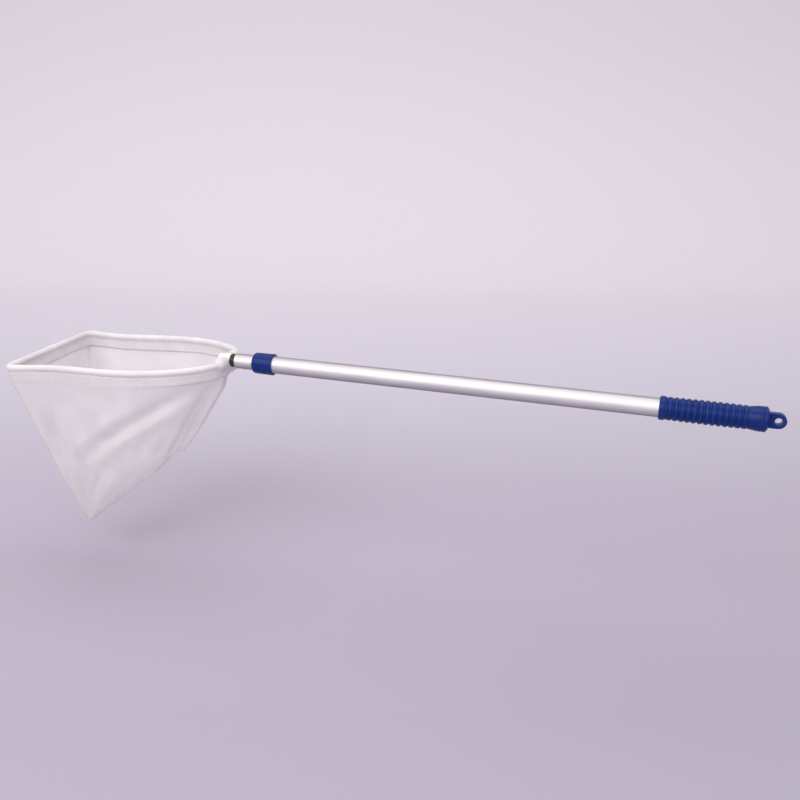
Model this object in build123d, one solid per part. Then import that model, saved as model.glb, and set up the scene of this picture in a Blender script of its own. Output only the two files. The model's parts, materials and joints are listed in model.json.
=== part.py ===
from build123d import *
import math
import os

# Deep-bag skimmer net on a two-section telescopic pole, drawn closed up.
# Millimetres. The pole lies on the X axis: +X is back, towards the butt, and -X is ahead,
# towards the hoop. +Z points out of the hoop's mouth. The origin is the hang eye's centre.

os.makedirs("parts", exist_ok=True)

# fits
SLIDE_GAP = 0.075          # radial, sliding parts
RUN_GAP = 0.05             # radial, screwed and turning parts
FIXED_GAP = 0.03           # radial, fixed parts
PIN_GAP = 0.02             # radial, rivets, cross pin and lock screw
FACE_GAP = 0.05            # axial, between faces that meet

# pole tubes
OUTER_R = 25.0 / 2
INNER_R = 22.0 / 2
TUBE_WALL = 1.2
OUTER_BORE_R = OUTER_R - TUBE_WALL
INNER_BORE_R = INNER_R - TUBE_WALL
OUTER_BACK_X = -20.0
OUTER_FRONT_X = -696.0
INNER_BACK_X = -150.0
INNER_FRONT_X = -730.7

# pins and rivets through the tubes; angles turn from +Y towards +Z
CAP_PIN_X = -33.0
CAP_PIN_R = 1.6
RIVET_R = 1.5
PLUG_RIVET_X = INNER_BACK_X - 10.0
PLUG_RIVET_ANGLES = (90.0, 270.0)
INSERT_RIVET_X = -717.0
INSERT_RIVET_ANGLES = (235.0, 305.0)

CUT_REACH = 20.0           # cuts across the pole run out to here, clear of everything


def save(shape, name):
    export_step(shape, f"parts/{name}.step")


def rod_along(start, direction, radius, length):
    """Solid cylinder from a point along a direction."""
    return Solid.make_cylinder(radius, length, Plane(origin=start, z_dir=direction))


def rod_x(front, back, radius, y=0.0, z=0.0):
    """Solid cylinder along X."""
    return rod_along((front, y, z), (1, 0, 0), radius, back - front)


def tube_x(front, back, outer, bore):
    """Hollow cylinder along X."""
    return rod_x(front, back, outer) - rod_x(front - 1, back + 1, bore)


def radial_rod(x, angle, radius, start, end=CUT_REACH):
    """Solid cylinder pointing away from the pole's axis, between two distances from it."""
    cos, sin = math.cos(math.radians(angle)), math.sin(math.radians(angle))
    return rod_along((x, start * cos, start * sin), (0, cos, sin), radius, end - start)


def turned(profile):
    """Solid of revolution about X from (x, radius) points."""
    face = make_face(Polyline(*[(x, radius, 0) for x, radius in profile], close=True))
    return revolve(face, Axis.X, 360)


def prism_x(x, radius, length):
    """Hexagonal prism along X."""
    return extrude(Plane(origin=(x, 0, 0), z_dir=(1, 0, 0)) * RegularPolygon(radius, 6), length)


# ---------------------------------------------------------------------------
# Outer section
# ---------------------------------------------------------------------------
cap_pin_hole = rod_along((CAP_PIN_X, 0, -CUT_REACH), (0, 0, 1), CAP_PIN_R + FIXED_GAP,
                         2 * CUT_REACH)

outer_tube = tube_x(OUTER_FRONT_X, OUTER_BACK_X, OUTER_R, OUTER_BORE_R)
outer_tube -= cap_pin_hole
save(outer_tube, "outer_tube")

# Mouth collar: domed nose, shallow waist, bevelled back rim; its lip guides the inner tube.
COLLAR_R = 31.0 / 2
COLLAR_BACK_X = -672.0
COLLAR_FRONT_X = -703.0
COLLAR_LIP = 6.9
COLLAR_BEVEL = 0.6         # at the mouth of the bore
NOSE_LEN = 4.2
NOSE_DROP = 3.0
NOSE_TOP_R = COLLAR_R - 0.4
NOSE_STEPS = 8

lip_back_x = COLLAR_FRONT_X + COLLAR_LIP
lip_bore_r = INNER_R + SLIDE_GAP
collar_bore_r = OUTER_R + FIXED_GAP
profile = [(COLLAR_FRONT_X + COLLAR_BEVEL, lip_bore_r),
           (COLLAR_FRONT_X, lip_bore_r + COLLAR_BEVEL)]
for i in range(NOSE_STEPS, -1, -1):
    angle = math.radians(90.0 * i / NOSE_STEPS)
    profile.append((COLLAR_FRONT_X + NOSE_LEN * (1 - math.sin(angle)),
                    NOSE_TOP_R - NOSE_DROP * (1 - math.cos(angle))))
profile += [
    (COLLAR_FRONT_X + 9.0, COLLAR_R - 0.25), (COLLAR_BACK_X - 8.0, COLLAR_R - 0.1),
    (COLLAR_BACK_X - 3.0, COLLAR_R), (COLLAR_BACK_X - 0.5, COLLAR_R),
    (COLLAR_BACK_X, COLLAR_R - 0.5), (COLLAR_BACK_X, collar_bore_r),
    (lip_back_x, collar_bore_r), (lip_back_x, lip_bore_r),
]
save(turned(profile), "mouth_collar")

# Grip: front bead, barrel of ribs between grooves, flared back.
GRIP_R = 30.4 / 2
GRIP_FRONT_X = -140.0
GRIP_BACK_X = -18.0
GRIP_RINGS = 13
GRIP_LEAD = 10.0           # plain length ahead of the ribs
GRIP_TAIL = 16.0           # plain length behind them
GROOVE_DEPTH = 1.3
RIB_DROP = 0.3
BARREL_SWELL = 0.5

grip_bore_r = OUTER_R + FIXED_GAP
profile = [
    (GRIP_FRONT_X, grip_bore_r), (GRIP_FRONT_X, GRIP_R - 1.0),
    (GRIP_FRONT_X + 0.8, GRIP_R - 0.2), (GRIP_FRONT_X + 2.0, GRIP_R + 0.3),
    (GRIP_FRONT_X + 6.0, GRIP_R + 0.3), (GRIP_FRONT_X + 7.4, GRIP_R - 0.4),
]
pitch = (GRIP_BACK_X - GRIP_FRONT_X - GRIP_LEAD - GRIP_TAIL) / GRIP_RINGS
for k in range(GRIP_RINGS):
    x = GRIP_FRONT_X + GRIP_LEAD + k * pitch
    rib_r = GRIP_R - RIB_DROP + BARREL_SWELL * math.sin(math.pi * (k + 0.5) / GRIP_RINGS)
    profile += [(x, GRIP_R - GROOVE_DEPTH), (x + 1.0, rib_r),
                (x + pitch - 2.6, rib_r), (x + pitch - 1.6, GRIP_R - GROOVE_DEPTH)]
profile += [
    (GRIP_BACK_X - 14.0, GRIP_R - 0.5), (GRIP_BACK_X - 6.0, GRIP_R + 0.6),
    (GRIP_BACK_X - 1.2, GRIP_R + 0.9), (GRIP_BACK_X, GRIP_R + 0.2), (GRIP_BACK_X, grip_bore_r),
]
save(turned(profile), "grip_sleeve")

# End cap: plug, domed flange, and a flat tab with the hang eye through it along Y.
CAP_FRONT_X = -46.0
CAP_BEVEL = 1.2
EYE_R = 4.5
TAB_R = 9.5
TAB_T = 8.0
TAB_ROOT_X = -13.0

plug_r = OUTER_BORE_R - FIXED_GAP
cap = turned([
    (CAP_FRONT_X, 0), (CAP_FRONT_X, plug_r - CAP_BEVEL), (CAP_FRONT_X + CAP_BEVEL, plug_r),
    (OUTER_BACK_X, plug_r), (OUTER_BACK_X + FACE_GAP, OUTER_R),
    (GRIP_BACK_X + FACE_GAP, OUTER_R), (GRIP_BACK_X + FACE_GAP, GRIP_R + 0.4),
    (-17.0, GRIP_R + 0.9), (-14.6, GRIP_R + 0.9), (-12.8, GRIP_R - 0.6),
    (-11.4, GRIP_R - 3.4), (-10.6, GRIP_R - 7.0), (-10.2, 0),
])
tab_face = make_face([
    Line((TAB_ROOT_X, TAB_R), (0, TAB_R)),
    ThreePointArc((0, TAB_R), (TAB_R, 0), (0, -TAB_R)),
    Line((0, -TAB_R), (TAB_ROOT_X, -TAB_R)),
    Line((TAB_ROOT_X, -TAB_R), (TAB_ROOT_X, TAB_R)),
])
cap = cap + extrude(Plane.XZ * tab_face, TAB_T / 2, both=True)
cap -= rod_along((0, -12, 0), (0, 1, 0), EYE_R, 24)
cap -= cap_pin_hole
save(cap, "end_cap")

# Two short pins through the tube wall into the plug, just below the tube's surface.
cap_pins = [radial_rod(CAP_PIN_X, angle, CAP_PIN_R, 3.0, OUTER_R - 0.15)
            for angle in (90.0, 270.0)]
save(Compound(children=cap_pins), "cap_pins")

# ---------------------------------------------------------------------------
# Twist lock, in the outer tube's bore behind the inner tube
# ---------------------------------------------------------------------------
LOCK_R = OUTER_BORE_R - SLIDE_GAP
LOCK_SCREW_R = 3.0
PLUG_FLANGE = 3.0
SLEEVE_LEN = 24.0
SLEEVE_SLOT = 2.6
SLEEVE_BEVEL = 0.6
SEAT_GAP = 0.35            # radial, between cone and sleeve
CONE_BIG_R = 8.6
CONE_SMALL_R = 6.4
CONE_LEN = 14.0

sleeve_front = INNER_BACK_X + PLUG_FLANGE + 0.3
sleeve_back = sleeve_front + SLEEVE_LEN
screw_back = sleeve_back + 12.5

# Rear plug: spigot in the inner tube, flange riding in the outer tube.
rear_plug = rod_x(INNER_BACK_X - 22.0, INNER_BACK_X + FACE_GAP, INNER_BORE_R - FIXED_GAP)
rear_plug = rear_plug + rod_x(INNER_BACK_X + FACE_GAP, INNER_BACK_X + PLUG_FLANGE, LOCK_R)
rear_plug -= rod_x(INNER_BACK_X - 20.0, INNER_BACK_X + 5.0, LOCK_SCREW_R + PIN_GAP)
for angle in PLUG_RIVET_ANGLES:
    rear_plug -= radial_rod(PLUG_RIVET_X, angle, RIVET_R + PIN_GAP, 4.5)
save(rear_plug, "rear_plug")

plug_rivets = [radial_rod(PLUG_RIVET_X, angle, RIVET_R, 4.6, INNER_R - 0.1)
               for angle in PLUG_RIVET_ANGLES]
save(Compound(children=plug_rivets), "plug_rivets")

# Screw held in the rear plug, with a hexagonal nut near its back end.
save(rod_x(INNER_BACK_X - 19.5, screw_back, LOCK_SCREW_R), "lock_screw")

nut_front = screw_back - 5.5
end_nut = prism_x(nut_front, 5.8, 5.0)
end_nut -= rod_x(nut_front - 1, screw_back + 1, LOCK_SCREW_R + PIN_GAP)
save(end_nut, "screw_end_nut")

# Split sleeve: tapered bore that opens to the back, one slot along the top, rings outside.
sleeve_bore_r = CONE_SMALL_R + SEAT_GAP
sleeve = turned([
    (sleeve_front, sleeve_bore_r), (sleeve_front, LOCK_R - SLEEVE_BEVEL),
    (sleeve_front + SLEEVE_BEVEL, LOCK_R), (sleeve_back - SLEEVE_BEVEL, LOCK_R),
    (sleeve_back, LOCK_R - SLEEVE_BEVEL), (sleeve_back, CONE_BIG_R + SEAT_GAP),
    (sleeve_back - CONE_LEN, sleeve_bore_r),
])
sleeve -= Pos((sleeve_front + sleeve_back) / 2, 0, 12) * Box(SLEEVE_LEN + 2, SLEEVE_SLOT, 20)
for k in range(4):
    x = sleeve_front + 5.0 + 4.6 * k
    sleeve -= tube_x(x, x + 1.2, LOCK_R + 1, LOCK_R - 0.45)
save(sleeve, "expander_sleeve")

# Cone nut: sits in the sleeve's back end, its key standing in the slot.
CONE_RIM_R = CONE_BIG_R - 0.25
CONE_RIM_LEN = 3.6
KEY_LEN = 16.0
KEY_H = 3.9
KEY_Z = 8.05               # middle of the key

cone_back = sleeve_back + 1.6
cone_front = cone_back - CONE_LEN
rim_back = cone_back + CONE_RIM_LEN
cone_bore_r = LOCK_SCREW_R + RUN_GAP
cone = turned([
    (cone_front, cone_bore_r), (cone_front, CONE_SMALL_R - 0.2),
    (cone_front + 0.4, CONE_SMALL_R), (cone_back, CONE_RIM_R),
    (rim_back, CONE_RIM_R), (rim_back, cone_bore_r),
])
cone = cone + Pos(rim_back - KEY_LEN / 2, 0, KEY_Z) * Box(KEY_LEN, SLEEVE_SLOT - 0.5, KEY_H)
cone -= rod_x(cone_back - 20, cone_back + 8, cone_bore_r)
save(cone, "cone_nut")

# ---------------------------------------------------------------------------
# Inner section
# ---------------------------------------------------------------------------
STUD_R = 4.0

inner_tube = tube_x(INNER_FRONT_X, INNER_BACK_X, INNER_R, INNER_BORE_R)
for angle in INSERT_RIVET_ANGLES:
    inner_tube -= radial_rod(INSERT_RIVET_X, angle, RIVET_R + PIN_GAP, 0)
for angle in PLUG_RIVET_ANGLES:
    inner_tube -= radial_rod(PLUG_RIVET_X, angle, RIVET_R + PIN_GAP, 0)
save(inner_tube, "inner_tube")

# Insert for the head stud: plug with a thin flange over the tube's front end.
insert_front = INNER_FRONT_X - 1.0
insert_r = INNER_BORE_R - FIXED_GAP
tip_insert = rod_x(INNER_FRONT_X, INNER_FRONT_X + 30.0, insert_r)
tip_insert = tip_insert + rod_x(insert_front, INNER_FRONT_X - 0.02, INNER_R - 0.1)
# bridges the small gap between plug and flange
tip_insert = tip_insert + rod_x(INNER_FRONT_X - 0.5, INNER_FRONT_X + 1.0, insert_r)
tip_insert -= rod_x(insert_front - 1, INNER_FRONT_X + 31.0, STUD_R + RUN_GAP)
for angle in INSERT_RIVET_ANGLES:
    tip_insert -= radial_rod(INSERT_RIVET_X, angle, RIVET_R + PIN_GAP, 5.4)
save(tip_insert, "tip_insert")


def insert_rivet(angle):
    """Rivet with a conical head just clear of the inner tube."""
    body = radial_rod(INSERT_RIVET_X, angle, RIVET_R, 5.5, INNER_R + 0.2)
    cos, sin = math.cos(math.radians(angle)), math.sin(math.radians(angle))
    head_r = INNER_R + 0.06
    seat = Plane(origin=(INSERT_RIVET_X, head_r * cos, head_r * sin), z_dir=(0, cos, sin))
    return (body + Solid.make_cone(2.6, 1.4, 0.8, seat)).solid()


save(Compound(children=[insert_rivet(a) for a in INSERT_RIVET_ANGLES]), "insert_rivets")

# ---------------------------------------------------------------------------
# Head coupling
# ---------------------------------------------------------------------------
APEX_X = -740.0            # zero of the distances s, which run ahead (-X) from here
SOCKET_S = 7.6             # the hoop's back line
HOOP_BACK_X = APEX_X - SOCKET_S
ROD_R = 3.0
ARM_HALF = 24.0

WASHER_T = 0.9
washer_back = insert_front - FACE_GAP
washer_front = washer_back - WASHER_T
save(tube_x(washer_front, washer_back, 9.2, STUD_R + RUN_GAP), "stud_washer")

# Lock nut with grooves along its rim.
NUT_R = 19.8 / 2
NUT_GROOVES = 28
GROOVE_R = 0.55
nut_back = washer_front - FACE_GAP
nut_front = APEX_X + 0.15
lock_nut = turned([
    (nut_front, STUD_R + RUN_GAP), (nut_front, NUT_R - 1.0), (nut_front + 0.7, NUT_R - 0.1),
    (nut_back - 0.7, NUT_R - 0.1), (nut_back, NUT_R - 1.0), (nut_back, STUD_R + RUN_GAP),
])
grooves = []
for k in range(NUT_GROOVES):
    angle = 2 * math.pi * k / NUT_GROOVES
    grooves.append(rod_x(nut_front - 1, nut_back + 1, GROOVE_R,
                         (NUT_R + 0.05) * math.cos(angle), (NUT_R + 0.05) * math.sin(angle)))
save(lock_nut - Compound(children=grooves), "lock_nut")

# Head stud, cross-pinned in the hoop socket.
STUD_PIN_X = HOOP_BACK_X - 5.0
STUD_PIN_R = 1.25
STUD_PIN_HALF = 9.0
stud_front = HOOP_BACK_X - 9.0
stud_pin_hole = rod_along((STUD_PIN_X, 0, -14), (0, 0, 1), STUD_PIN_R + PIN_GAP, 28)
head_stud = rod_x(stud_front, INNER_FRONT_X + 24.0, STUD_R)
head_stud -= stud_pin_hole
save(head_stud, "head_stud")

# Socket: hub along the pole, arms across it that take the rod ends, web ahead of the arms.
ARM_R = 7.2
ARM_BEVEL = 1.0
WEB_T = 7.2
WEB_HALF = 20.0
SET_SCREW_Y = 15.0
SET_SCREW_R = 2.0
hub_back = APEX_X - FACE_GAP
hub_front = HOOP_BACK_X - 12.0
hub = turned([(hub_front, 0), (hub_front, 7.0), (hub_front + 2.2, 9.2), (hub_back - 1.0, 9.8),
              (hub_back, 8.8), (hub_back, 0)])
arms = rod_along((HOOP_BACK_X, -ARM_HALF, 0), (0, 1, 0), ARM_R, 2 * ARM_HALF)
arms = chamfer(arms.edges().filter_by(GeomType.CIRCLE), ARM_BEVEL)
web_half_outline = [(hub_front + 1.0, 6.0), (HOOP_BACK_X - 5.4, WEB_HALF),
                    (HOOP_BACK_X, WEB_HALF)]
web_points = [(x, y, 0) for x, y in web_half_outline]
web_points += [(x, -y, 0) for x, y in web_half_outline[::-1]]
web = extrude(Plane(origin=(0, 0, -WEB_T / 2)) * make_face(Polyline(*web_points, close=True)),
              WEB_T)
socket = hub + arms + web
socket -= rod_x(stud_front - 0.05, hub_back + 2, STUD_R + FIXED_GAP)
for side in (1, -1):
    socket -= rod_along((HOOP_BACK_X, side * 5.2, 0), (0, side, 0), ROD_R + FIXED_GAP, 40)
    socket -= rod_along((HOOP_BACK_X, side * SET_SCREW_Y, 0), (0, 0, -1),
                        SET_SCREW_R + FIXED_GAP, 12)
socket -= stud_pin_hole
save(socket, "hoop_socket")

# Hollow cross pin.
stud_pin = rod_along((STUD_PIN_X, 0, -STUD_PIN_HALF), (0, 0, 1), STUD_PIN_R, 2 * STUD_PIN_HALF)
stud_pin -= rod_along((STUD_PIN_X, 0, -STUD_PIN_HALF - 1), (0, 0, 1), 0.6,
                      2 * STUD_PIN_HALF + 2)
save(stud_pin, "stud_pin")

# Set screws under the rod ends, each with a hexagonal recess in its lower face.
SET_SCREW_LEN = 5.0
screw_top = -ROD_R - 0.12
screws = []
for side in (1, -1):
    y = side * SET_SCREW_Y
    body = rod_along((HOOP_BACK_X, y, screw_top), (0, 0, -1), SET_SCREW_R, SET_SCREW_LEN)
    recess_plane = Plane(origin=(HOOP_BACK_X, y, screw_top - SET_SCREW_LEN - 1), z_dir=(0, 0, 1))
    screws.append(body - extrude(recess_plane * RegularPolygon(1.1, 6), 3.0))
save(Compound(children=screws), "socket_set_screws")

# ---------------------------------------------------------------------------
# Hoop, hem and bag: built level, then turned down by the droop about the arms' axis
# ---------------------------------------------------------------------------
HOOP_DROOP = 2.8           # degrees, front bar down
HOOP_FRONT_S = 320.5       # centre line of the straight front bar
CORNER_Y = 105.0           # half-width where side and front bar would meet unrounded
CORNER_R = 12.0
BEND_Y = ARM_HALF + 2.0    # the hoop is straight across the back out to here
# (s, half-width) of the hoop's centre line
HOOP_SIDE = [
    (9.2, 33.0), (13.0, 40.5), (20.0, 49.5), (30.0, 59.0), (40.0, 66.6), (60.0, 77.8),
    (80.0, 85.8), (100.0, 91.2), (120.0, 94.4), (140.0, 95.8), (160.0, 95.8), (180.0, 94.7),
    (200.0, 93.2), (220.0, 91.9), (240.0, 91.6), (260.0, 93.0), (280.0, 96.4),
]
HOOP_MIDDLE_S = 170.0

HEM_R = 5.4
HEM_BORE_R = 3.9
BAND_T = 1.6
BAND_DEPTH = 24.0

BAG_T = 1.2
BAG_INSET = BAND_T / 2 + 0.25
BAG_TOP_Z = -15.0
TIP_Z = -296.0
TIP_FRONT_S = 294.0
TIP_HALF = 1.6             # half-width at the tip
# (z, s) of the bag's back line, shared by its outside, its inside and the tape
BAG_BACK = [(-60.0, 42.0), (-110.0, 75.0), (-155.0, 108.0), (-195.0, 151.0), (-235.0, 205.0),
            (-270.0, 254.0)]
OUTSIDE_END = [(-288.0, 279.0), (TIP_Z, 289.0)]
INSIDE_END = [(-284.0, 275.0)]


def save_drooped(shape, name):
    save(shape.rotate(Axis((HOOP_BACK_X, 0, 0), (0, 1, 0)), -HOOP_DROOP), name)


def point(s, y, z=0.0):
    """Point at distance s ahead of the apex."""
    return (APEX_X - s, y, z)


def corner_points():
    """(s, y) points of the rounded front corner, from the side to the front bar."""
    side_s, side_y = HOOP_SIDE[-1]
    run = math.hypot(HOOP_FRONT_S - side_s, CORNER_Y - side_y)
    dir_s, dir_y = (HOOP_FRONT_S - side_s) / run, (CORNER_Y - side_y) / run
    setback = CORNER_R * math.tan(math.acos(-dir_y) / 2)
    start_s, start_y = HOOP_FRONT_S - dir_s * setback, CORNER_Y - dir_y * setback
    mid_s, mid_y = start_s + dir_y * CORNER_R, start_y - dir_s * CORNER_R
    points = [(start_s, start_y)]
    for share in (0.33, 0.67):
        spoke_s = (start_s - mid_s) * (1 - share) + (HOOP_FRONT_S - mid_s) * share
        spoke_y = (start_y - mid_y) * (1 - share)
        scale = CORNER_R / math.hypot(spoke_s, spoke_y)
        points.append((mid_s + spoke_s * scale, mid_y + spoke_y * scale))
    return points + [(HOOP_FRONT_S, mid_y)]


half_line = [(SOCKET_S, 0.0), (SOCKET_S, 14.0), (SOCKET_S, BEND_Y)] + HOOP_SIDE
half_line += corner_points() + [(HOOP_FRONT_S, y) for y in (60.0, 30.0, 0.0)]
centre_line = half_line + [(s, -y) for s, y in half_line[-2:0:-1]]


def outline(inset):
    """Closed (s, y) points of the hoop's centre line moved inwards by inset."""
    moved = []
    for i, (s, y) in enumerate(centre_line):
        last_s, last_y = centre_line[i - 1]
        next_s, next_y = centre_line[(i + 1) % len(centre_line)]
        chord = math.hypot(next_s - last_s, next_y - last_y)
        normal_s, normal_y = (next_y - last_y) / chord, -(next_s - last_s) / chord
        # the normal has to face the middle of the hoop
        if (HOOP_MIDDLE_S - s) * normal_s - y * normal_y < 0:
            normal_s, normal_y = -normal_s, -normal_y
        moved.append((s + normal_s * inset, y + normal_y * inset))
    return moved


# Rod: round sections along the centre line, from inside one arm round to inside the other.
ROD_END_Y = 5.5
rod_line = [(SOCKET_S, ROD_END_Y)]
rod_line += [(s, y) for s, y in centre_line if abs(y) >= BEND_Y - 0.1 or s > 100.0]
rod_line.append((SOCKET_S, -ROD_END_Y))
last = len(rod_line) - 1
sections = []
for i, (s, y) in enumerate(rod_line):
    before_s, before_y = rod_line[max(0, i - 1)]
    after_s, after_y = rod_line[min(last, i + 1)]
    direction = (before_s - after_s, after_y - before_y, 0)
    # the sections where the rod leaves the arms stay square to them
    if i == 1:
        direction = (0, 1, 0)
    elif i == last - 1:
        direction = (0, -1, 0)
    plane = Plane(origin=point(s, y), x_dir=(0, 0, 1), z_dir=direction)
    sections.append(plane * Circle(ROD_R))
save_drooped(loft(sections, ruled=True), "hoop_rod")


def slab(inset, bottom, top):
    """Prism on the outline moved inwards by inset."""
    points = [point(s, y, bottom) for s, y in outline(inset)]
    return extrude(make_face(Polyline(*points, close=True)), top - bottom, dir=(0, 0, 1))


def hoop_wall(half_width, bottom, top):
    """Upright wall that follows the centre line, half_width to each side of it."""
    return slab(-half_width, bottom, top) - slab(half_width, bottom - 1, top + 1)


# Hem: a sleeve round the rod and the band that hangs under it, cut away round the socket.
hem = hoop_wall(HEM_R, -HEM_R, HEM_R)
hem -= hoop_wall(HEM_BORE_R, -HEM_BORE_R, HEM_BORE_R)
hem = hem + hoop_wall(BAND_T / 2, -BAND_DEPTH, -HEM_BORE_R - 0.2)
hem -= Pos(HOOP_BACK_X, 0, 0) * Box(40, 2 * ARM_HALF + 1.4, 22.4)
save_drooped(hem, "hem_sleeve")


def bag_section(z, back_s, skin):
    """Face at depth z: the outline drawn in towards the tip, then moved in by skin."""
    base = outline(BAG_INSET)
    base_front = max(s for s, y in base)
    base_back = min(s for s, y in base)
    base_half = max(y for s, y in base)
    depth = (z - BAG_TOP_Z) / (TIP_Z - BAG_TOP_Z)
    front = base_front + (TIP_FRONT_S - base_front) * depth - skin
    length = front - (back_s + skin)
    half = base_half * (1 - depth) ** 0.92 + TIP_HALF * depth - skin
    points = [point(front - (base_front - s) / (base_front - base_back) * length,
                    y / base_half * half, z) for s, y in base]
    return make_face(Polyline(*points, close=True))


def bag_loft(skin, levels):
    return loft([bag_section(z, back_s, skin) for z, back_s in levels], ruled=True)


# Bag: the inside starts above the outside so that the mouth is open.
top_s = min(s for s, y in outline(BAG_INSET))
bag_outside = bag_loft(0.0, [(BAG_TOP_Z, top_s)] + BAG_BACK + OUTSIDE_END)
bag_inside = bag_loft(BAG_T, [(BAG_TOP_Z + 3.0, top_s - 1.0)] + BAG_BACK + INSIDE_END)
save_drooped(bag_outside - bag_inside, "mesh_bag")

# Tape inside the bag along its back line.
TAPE_OFFSET = BAG_T * 1.9 + 1.2
TAPE_T = 1.1
TAPE_HALF = 4.0
tape_points = [point(s + TAPE_OFFSET, 0, z) for z, s in BAG_BACK]
tape_points += [point(s + TAPE_OFFSET + TAPE_T, 0, z) for z, s in BAG_BACK[::-1]]
tape = extrude(make_face(Polyline(*tape_points, close=True)), TAPE_HALF, dir=(0, 1, 0), both=True)
save_drooped(tape, "bag_seam_tape")
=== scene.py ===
"""Hand net: a pole, a hoop held in a socket, and a hanging bag of fine white net.

The hoop reaches from its socket towards -X and dips slightly at its far end. The bag hangs
towards -Z and the camera looks on from the -Y side. The hard parts come from the CAD frame.
The canvas hem, net bag, seam strips and stitches are built here in hoop coordinates (mm):
s runs from the back of the hoop (socket end) to its front (far end, -X), y across, z up.
"""
import json
import math

import bmesh
import bpy
import numpy as np
from mathutils import Matrix, Vector


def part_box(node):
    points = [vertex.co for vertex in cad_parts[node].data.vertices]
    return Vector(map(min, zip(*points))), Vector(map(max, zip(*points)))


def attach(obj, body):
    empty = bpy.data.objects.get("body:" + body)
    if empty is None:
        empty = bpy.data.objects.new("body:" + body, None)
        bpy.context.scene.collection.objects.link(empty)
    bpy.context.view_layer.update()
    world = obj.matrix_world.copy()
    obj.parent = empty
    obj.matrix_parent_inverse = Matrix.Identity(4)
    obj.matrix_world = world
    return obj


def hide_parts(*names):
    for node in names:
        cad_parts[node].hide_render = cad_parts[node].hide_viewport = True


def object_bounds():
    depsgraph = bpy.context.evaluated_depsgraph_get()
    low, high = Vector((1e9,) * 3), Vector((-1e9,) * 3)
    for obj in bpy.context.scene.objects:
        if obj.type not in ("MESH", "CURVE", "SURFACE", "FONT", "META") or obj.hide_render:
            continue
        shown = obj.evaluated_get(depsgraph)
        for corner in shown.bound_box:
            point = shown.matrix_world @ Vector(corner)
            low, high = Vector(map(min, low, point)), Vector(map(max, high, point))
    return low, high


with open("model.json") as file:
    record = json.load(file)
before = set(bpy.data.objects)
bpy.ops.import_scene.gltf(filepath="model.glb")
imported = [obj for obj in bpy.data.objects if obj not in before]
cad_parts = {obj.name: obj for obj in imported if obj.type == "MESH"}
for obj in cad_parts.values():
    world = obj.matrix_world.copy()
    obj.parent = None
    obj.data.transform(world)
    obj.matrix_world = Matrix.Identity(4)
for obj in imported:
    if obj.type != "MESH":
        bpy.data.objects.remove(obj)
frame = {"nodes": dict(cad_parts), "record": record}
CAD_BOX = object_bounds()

MM = 0.001
NODES = frame["nodes"]
SLOT_OF = {part["node"]: part["material_slot"] for part in frame["record"]["subparts"]}

scene = bpy.context.scene
for stray in ("Cube", "Light", "Camera"):
    if stray in bpy.data.objects and stray not in NODES:
        bpy.data.objects.remove(bpy.data.objects[stray])


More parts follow.
